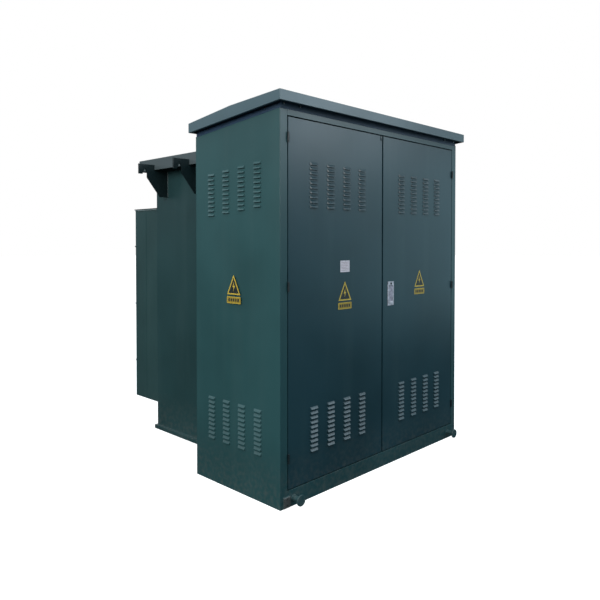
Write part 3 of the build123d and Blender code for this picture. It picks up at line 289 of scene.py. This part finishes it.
# The neck and the roof ribs take a dark blue tone that paints the bluish shade under the roof's overhang.
neck_painted_shade = powder_coat("neck_painted_shade", (0.014, 0.040, 0.080), roughness=0.60)
rounded_copy("roof_shell", "roof", 0.003, roof_green_painted_highlight)
rounded_copy("roof_neck", "neck", 0.0012, neck_painted_shade, shortest=0.3)
finish("roof_ribs", neck_painted_shade)


# ---- lifting posts and ground pad at the foot of the cabinet ----
# Turned stubs with end flanges, welded through the face; the pad is bare
# steel with two tapped holes, scuffed by the clamps of the earth lead.
def metal(name, colour, roughness, scratch=0.12, grain=90.0):
    """Bare or plated metal with cloudy gloss, fine scratches and specks of darker oxide."""
    material, tree, shader = principled(name, colour, roughness, metallic=1.0)
    place = add_node(tree, "TexCoord").outputs["Object"]
    cloud = noise(tree, place, grain, 4.0)
    dark = (*[channel * 0.55 for channel in colour], 1.0)
    tone = mixed(tree, ramped(tree, cloud, 0.38, 0.66), dark, (*colour, 1.0))
    tree.links.new(tone, shader.inputs["Base Color"])
    drawn = add_node(tree, "Mapping", {"Vector": place, "Scale": (1.0, 1.0, 14.0)}).outputs[0]
    lines = noise(tree, drawn, grain * 4.0, 3.0)
    tree.links.new(ramped(tree, lines, 0.3, 0.7, max(roughness - scratch, 0.05), roughness + scratch),
                   shader.inputs["Roughness"])
    bump = add_node(tree, "Bump", {"Height": lines, "Strength": 0.25, "Distance": 0.0002})
    tree.links.new(bump.outputs[0], shader.inputs["Normal"])
    return material


bare_steel = metal("bare_steel", (0.42, 0.43, 0.42), 0.46, grain=240.0)
rounded_copy("lifting_posts", "lifting_stubs", 0.0015, frame_green, shortest=0.002)
rounded_copy("ground_pad", "earth_pad", 0.0008, bare_steel, shortest=0.02)


def weld_bead(bm, points, radius, step=0.0065):
    """A rippled bead: rings along straight runs, bridged, each a little fatter or thinner."""
    for start, end in zip(points, points[1:]):
        run = Vector(end) - Vector(start)
        count = max(2, int(run.length / step))
        turn = run.to_track_quat("Z", "Y").to_matrix().to_4x4()
        rings = []
        for index in range(count + 1):
            swell = radius * (1.0 + 0.14 * math.sin(index * 2.4) + 0.08 * math.sin(index * 0.9))
            place = Matrix.Translation(Vector(start) + run * (index / count)) @ turn
            ring = bmesh.ops.create_circle(bm, cap_ends=False, segments=8, radius=swell, matrix=place)
            rings.append(list({edge for vert in ring["verts"] for edge in vert.link_edges}))
        for first, second in zip(rings, rings[1:]):
            bmesh.ops.bridge_loops(bm, edges=first + second)
        for ring in (rings[0], rings[-1]):
            bmesh.ops.holes_fill(bm, edges=ring, sides=0)


post_beads = bmesh.new()
stubs_low, stubs_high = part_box("lifting_posts")
stub_radius = 0.0165
stub_flange_radius = 0.031
stub_x = stubs_high.x - stub_flange_radius
stub_z = (stubs_low.z + stubs_high.z) / 2
for side in (-1, 1):
    circle = [(side * stub_x + stub_radius * math.sin(math.tau * turn / 16), face - 0.001,
               stub_z + stub_radius * math.cos(math.tau * turn / 16)) for turn in range(17)]
    weld_bead(post_beads, circle, 0.0030)
pad_low, pad_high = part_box("ground_pad")
pad_corners = [(pad_low.x, face, pad_low.z), (pad_high.x, face, pad_low.z),
               (pad_high.x, face, pad_high.z), (pad_low.x, face, pad_high.z),
               (pad_low.x, face, pad_low.z)]
weld_bead(post_beads, pad_corners, 0.0024)
into_object("post_beads", post_beads, frame_green, "housing", sharp=80.0)


# ---- tank: base, front plate, shell, and cover on its gasket ----
# Welded plate of 6 to 12 mm, coated in the same green; the cover is a flat
# tray turned down over the rim and bolted round its sides and rear.
tank_green = powder_coat("tank_green", (0.015, 0.048, 0.050), roughness=0.36)
cover_green = powder_coat("cover_green", (0.060, 0.078, 0.082), roughness=0.34, dirt=0.0)
# Lugs, fin cap and tie bars take a near-black copy of the tank green: painted shade, as if in the cabinet's
# shadow.
lug_and_cap_painted_shade = powder_coat("lug_and_cap_painted_shade", (0.004, 0.012, 0.014), roughness=0.36, dirt=0.0)
rounded_copy("tank_base", "base", 0.0025, tank_green, shortest=0.02)
finish("tank_plate", tank_green)
rear_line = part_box("fin_bars")[0].y
rounded_copy("tank_shell", "tank", 0.009, tank_green, shortest=1.0,
             chosen=lambda middle: middle.y > rear_line - 0.01)
rounded_copy("tank_cover", "cover", 0.003, cover_green, shortest=0.2)
rounded_copy("lifting_lugs", "lugs", 0.0018, lug_and_cap_painted_shade, shortest=0.015)
sponge_black, sponge_tree, sponge_shader = principled("sponge_black", (0.018, 0.018, 0.018), 0.85)
sponge_place = add_node(sponge_tree, "TexCoord").outputs["Object"]
cells = add_node(sponge_tree, "TexVoronoi", {"Vector": sponge_place, "Scale": 700.0}).outputs[0]
pits = add_node(sponge_tree, "Bump", {"Height": cells, "Strength": 0.6, "Distance": 0.0004})
sponge_tree.links.new(pits.outputs[0], sponge_shader.inputs["Normal"])
sponge_tone = mixed(sponge_tree, cells, (0.030, 0.030, 0.030, 1.0), (0.012, 0.012, 0.012, 1.0))
sponge_tree.links.new(sponge_tone, sponge_shader.inputs["Base Color"])
finish("cover_gasket", sponge_black)
tank_beads = bmesh.new()
plate_low, plate_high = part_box("tank_plate")
lugs_low, lugs_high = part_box("lifting_lugs")
base_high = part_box("tank_base")[1]
lug_plate = 0.012
base_bead = 0.0030
base_ripple = 0.011
bead_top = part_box("tank_cover")[0].z - 0.006
tank_back = base_high.y - 0.013
for side in (-1, 1):
    wall = side * plate_high.x
    for depth in (lugs_low.y, lugs_low.y + lug_plate, lugs_high.y - lug_plate, lugs_high.y):
        weld_bead(tank_beads, [(wall, depth, lugs_low.z + 0.002), (wall, depth, bead_top)], 0.0034)
    weld_bead(tank_beads, [(wall, plate_high.y, base_high.z), (wall, tank_back, base_high.z)],
              base_bead, base_ripple)
weld_bead(tank_beads, [(plate_low.x, tank_back, base_high.z), (plate_high.x, tank_back, base_high.z)],
          base_bead, base_ripple)
into_object("tank_beads", tank_beads, tank_green, "housing", sharp=80.0)
zinc = metal("zinc", (0.58, 0.60, 0.62), 0.34, grain=140.0)
finish("bolts_and_screws", zinc)

# ---- cooling wall: hollow pressed fins with a cap and tie bars ----
# Thin sheet folded into fins, so their outer edges are round; the bars
# keep the fins from drumming.
fin_green = powder_coat("fin_green", (0.023, 0.058, 0.058), roughness=0.34)
fin_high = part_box("fin_wall")[1]
fin_rear = fin_high.y
fin_bank_half = fin_high.x - 0.004


def fin_shoulder(edge):
    """The long top edges of the two outermost fins."""
    middle = (edge.verts[0].co + edge.verts[1].co) / 2
    return (edge.calc_length() > 0.2 and middle.z > fin_high.z - 0.001
            and abs(abs(middle.x) - fin_bank_half) < 0.0006)


rounded_copy("fin_wall", "fins", 0.0035, fin_green, shortest=1.0,
             chosen=lambda middle: middle.y > fin_rear - 0.001, chamfered=fin_shoulder)
rounded_copy("fin_bars", "fin_cap_and_bars", 0.001, lug_and_cap_painted_shade, shortest=0.2)
# The beads along the fin cap's lower edge are pale grey: a painted highlight for the light strip under the
# cap.
cap_painted_highlight = powder_coat("cap_painted_highlight", (0.14, 0.19, 0.19), roughness=0.40, dirt=0.0)
cap_beads = bmesh.new()
cap_bead_z = fin_high.z - 0.0055
for side in (-1, 1):
    shoulder = side * (fin_bank_half + 0.0015)
    weld_bead(cap_beads, [(shoulder, tank_back + 0.004, cap_bead_z),
                          (shoulder, fin_rear - 0.004, cap_bead_z)], 0.0052, 0.016)
into_object("cap_beads", cap_beads, cap_painted_highlight, "housing", sharp=80.0)

# ---- core, clamps and windings inside the tank ----
# Stacked core sheet and enamelled wire, seen only when the tank is opened.
core_iron = metal("core_iron", (0.20, 0.20, 0.22), 0.5, grain=60.0)
winding_copper = metal("winding_copper", (0.45, 0.20, 0.09), 0.38, grain=200.0)
finish("core", core_iron)
finish("core_clamps", frame_green)
finish("windings", winding_copper)


# ---- fittings on the tank plate ----
# Moulded bushings and fuse tubes, turned valve bodies, red levers.
def moulded(name, colour, roughness, grain=120.0, bumps=0.0001):
    """Moulded or enamelled surface with faint mottling and a fine skin."""
    material, tree, shader = principled(name, colour, roughness)
    place = add_node(tree, "TexCoord").outputs["Object"]
    cloud = noise(tree, place, grain, 3.0)
    dark = (*[channel * 0.78 for channel in colour], 1.0)
    tone = mixed(tree, ramped(tree, cloud, 0.35, 0.65), dark, (*colour, 1.0))
    tree.links.new(tone, shader.inputs["Base Color"])
    tree.links.new(ramped(tree, cloud, 0.3, 0.7, roughness - 0.06, roughness + 0.08),
                   shader.inputs["Roughness"])
    bump = add_node(tree, "Bump", {"Height": noise(tree, place, grain * 6.0, 2.0), "Strength": 0.4,
                                   "Distance": bumps})
    tree.links.new(bump.outputs[0], shader.inputs["Normal"])
    return material


epoxy_brown = moulded("epoxy_brown", (0.10, 0.035, 0.022), 0.28)
fuse_grey = moulded("fuse_grey", (0.12, 0.125, 0.13), 0.45)
red_enamel = moulded("red_enamel", (0.42, 0.02, 0.015), 0.30)
knob_black = moulded("knob_black", (0.020, 0.020, 0.022), 0.42)
turned_brass = metal("turned_brass", (0.62, 0.42, 0.16), 0.30, grain=180.0)
tinned_copper = metal("tinned_copper", (0.60, 0.56, 0.48), 0.36, grain=150.0)
fitting_finishes = {
    epoxy_brown: ("hv_bushings", "lv_bushings"),
    fuse_grey: ("fuse_tubes", "left_fuse", "middle_fuse", "right_fuse"),
    turned_brass: ("plate_fittings",),
    red_enamel: ("switch_handle", "drain_lever", "level_needle", "thermometer_needle"),
    knob_black: ("tap_handle",),
    tinned_copper: ("lv_spades",),
    zinc: ("relief_ring",),
}
for material, nodes in fitting_finishes.items():
    for node in nodes:
        finish(node, material)

# ---- doors: folded trays with pressed louvres ----
# Sheet of 2 mm folded back twice at every edge, stiffened by channels and
# hung on weld-on hinges whose barrels stand in the gap.
# The doors take a darker, bluer copy of the cabinet's green: painted shade and painted blue sky reflection on
# the front.
door_green_painted_sky = powder_coat("door_green_painted_sky", (0.0085, 0.034, 0.045), roughness=0.30)
# Hinges take a near-black copy of the green: painted shade on barrels that sit in shadow.
hinge_painted_shade = powder_coat("hinge_painted_shade", (0.004, 0.011, 0.014), roughness=0.4, dirt=0.1)
for side in ("left", "right"):
    body = f"{side}_door"
    rounded_copy(f"{side}_door_skin", f"{side}_leaf", 0.0018, door_green_painted_sky, body=body,
                 chosen=lambda middle: middle.y < face + 0.001, shortest=0.5, sharp=hood_sharp)
    finish(f"{side}_door_ribs", door_green_painted_sky)
    finish(f"{side}_door_gasket", sponge_black)
    finish(f"{side}_door_hinges", hinge_painted_shade)
finish("frame_hinges", hinge_painted_shade)

# ---- signs and label: printed vinyl films on the doors and the sides ----
# A yellow triangle with a bolt, over an ochre band with plain dark blocks; the
# white label is ruled with faint lines. Each film is under a millimetre thick.
sign_yellow = moulded("sign_yellow", (0.60, 0.43, 0.055), 0.42)
sign_ochre = moulded("sign_ochre", (0.36, 0.25, 0.028), 0.45)
sign_dark = moulded("sign_dark", (0.016, 0.022, 0.020), 0.45)
label_white = moulded("label_white", (0.66, 0.62, 0.68), 0.40)
label_rose = moulded("label_rose", (0.46, 0.36, 0.40), 0.45)
film_back = 0.0001
film_face = 0.0005
print_face = 0.0006
triangle = ((-0.060, 0.0), (0.060, 0.0), (0.0, 0.117))
triangle_border = 0.0080
bolt = ((0.004, 0.076), (-0.011, 0.042), (0.0, 0.044), (-0.005, 0.018), (0.012, 0.053), (0.001, 0.051))
band_low = -0.052
band_size = (0.124, 0.040)
band_border = 0.0028
block_count = 5
block_left = -0.048
block_pitch = 0.0205
block_width = 0.0135
block_margin = 0.011
rule_count = 6
rule_pitch = 0.0095
label_size = (0.086, 0.070)


def rectangle(left, low, width, height):
    """The corners of an upright rectangle."""
    return ((left, low), (left + width, low), (left + width, low + height), (left, low + height))


def film(bm, outline, place, near, far, border=None):
    """A thin flat shape, or with a border only its rim, between two distances off the sheet."""
    shape = bm.faces.new([bm.verts.new(place @ Vector((across, -near, up))) for across, up in outline])
    faces = [shape]
    if border is not None:
        shape.normal_update()
        faces = bmesh.ops.inset_individual(bm, faces=[shape], thickness=border, use_even_offset=True)["faces"]
        bmesh.ops.delete(bm, geom=[shape], context="FACES_ONLY")
    raised = bmesh.ops.extrude_face_region(bm, geom=faces)["geom"]
    bmesh.ops.translate(bm, verts=[item for item in raised if isinstance(item, bmesh.types.BMVert)],
                        vec=place.to_3x3() @ Vector((0.0, near - far, 0.0)))


def film_piece(name, bm, material, body, node):
    """Printed shapes become one piece that stands in for a CAD sign."""
    bmesh.ops.recalc_face_normals(bm, faces=bm.faces)
    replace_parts(into_object(name, bm, material, body), node)


def warning_signs(name, places, body, node):
    """Yellow, ochre and dark parts of the signs at some places."""
    yellow, ochre, dark = bmesh.new(), bmesh.new(), bmesh.new()
    for place in places:
        film(yellow, triangle, place, film_back, print_face, triangle_border)
        film(dark, triangle, place, film_back, film_face - 0.0001)
        film(yellow, bolt, place, film_face, print_face)
        width, height = band_size
        band = rectangle(-width / 2, band_low, width, height)
        film(ochre, band, place, film_back, film_face)
        film(yellow, band, place, film_face, print_face, band_border)
        for index in range(block_count):
            block = rectangle(block_left + block_pitch * index, band_low + block_margin, block_width,
                              height - 2 * block_margin)
            film(dark, block, place, film_face, print_face)
    film_piece(f"{name}_yellow", yellow, sign_yellow, body, node)
    film_piece(f"{name}_ochre", ochre, sign_ochre, body, node)
    film_piece(f"{name}_dark", dark, sign_dark, body, node)


low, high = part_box("right_door_sign")
warning_signs("right_sign", [Matrix.Translation(((low.x + high.x) / 2, face, low.z - band_low))],
              "right_door", "right_door_sign")
low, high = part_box("left_door_signs")
left_middle = (low.x + high.x) / 2
warning_signs("left_sign", [Matrix.Translation((left_middle, face, low.z - band_low))],
              "left_door", "left_door_signs")
label_place = Matrix.Translation((left_middle, face, high.z - label_size[1]))
label, ruling = bmesh.new(), bmesh.new()
film(label, rectangle(-label_size[0] / 2, 0.0, *label_size), label_place, film_back, film_face)
for row in range(rule_count):
    rule = rectangle(-0.034, 0.010 + rule_pitch * row, 0.068, 0.0028)
    film(ruling, rule, label_place, film_face, print_face)
film_piece("label", label, label_white, "left_door", "left_door_signs")
film_piece("label_ruling", ruling, label_rose, "left_door", "left_door_signs")
low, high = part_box("side_signs")
middle_y = (low.y + high.y) / 2
half_width = abs(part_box("left_side_panel")[0].x)
warning_signs("side_sign", [Matrix.Translation((side * half_width, middle_y, low.z - band_low))
                            @ Matrix.Rotation(side * math.pi / 2, 4, "Z") for side in (-1, 1)],
              "housing", "side_signs")

# ---- flush lock: cast zinc plate and flap with satin plating, black button ----
# The plate's corners and the flap's edges are rounded in the die. A small near-black plate at the top of the
# seam on the other door paints the shade of a notch there.
satin_metallic = 0.35
satin = metal("satin_silver", (0.60, 0.60, 0.67), 0.40, scratch=0.08, grain=60.0)
flap_satin = metal("flap_satin", (0.47, 0.44, 0.53), 0.42, scratch=0.08, grain=60.0)
for plated in (satin, flap_satin):
    plated.node_tree.nodes["Principled BSDF"].inputs["Metallic"].default_value = satin_metallic
rounded_copy("lock_body", "lock_plate", 0.0022, satin, body="right_door", shortest=0.05,
             chosen=lambda middle: middle.y < face)
rounded_copy("lock_handle", "lock_flap", 0.0009, flap_satin, body="handle", shortest=0.03)
finish("lock_button", knob_black)
door_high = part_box("left_door_skin")[1]
# A near-black plate paints the shade of the notch at the top of the door seam.
notch_shade = bmesh.new()
notch_shade_place = Matrix.Translation((door_high.x - 0.009, face - 0.0015, door_high.z - 0.016))
notch_shade_size = Matrix.Diagonal((0.016, 0.003, 0.030, 1.0))
bmesh.ops.create_cube(notch_shade, size=1.0, matrix=notch_shade_place @ notch_shade_size)
bmesh.ops.bevel(notch_shade, geom=notch_shade.edges[:], offset=0.0007, offset_type="OFFSET", affect="EDGES", segments=2,
                profile=0.5, material=-1)
into_object("seam_notch_shade", notch_shade, hinge_painted_shade, "left_door")
for node in ("lock_cam", "upper_lock_rod", "lower_lock_rod", "upper_slide_bolt", "lower_slide_bolt"):
    finish(node, zinc)
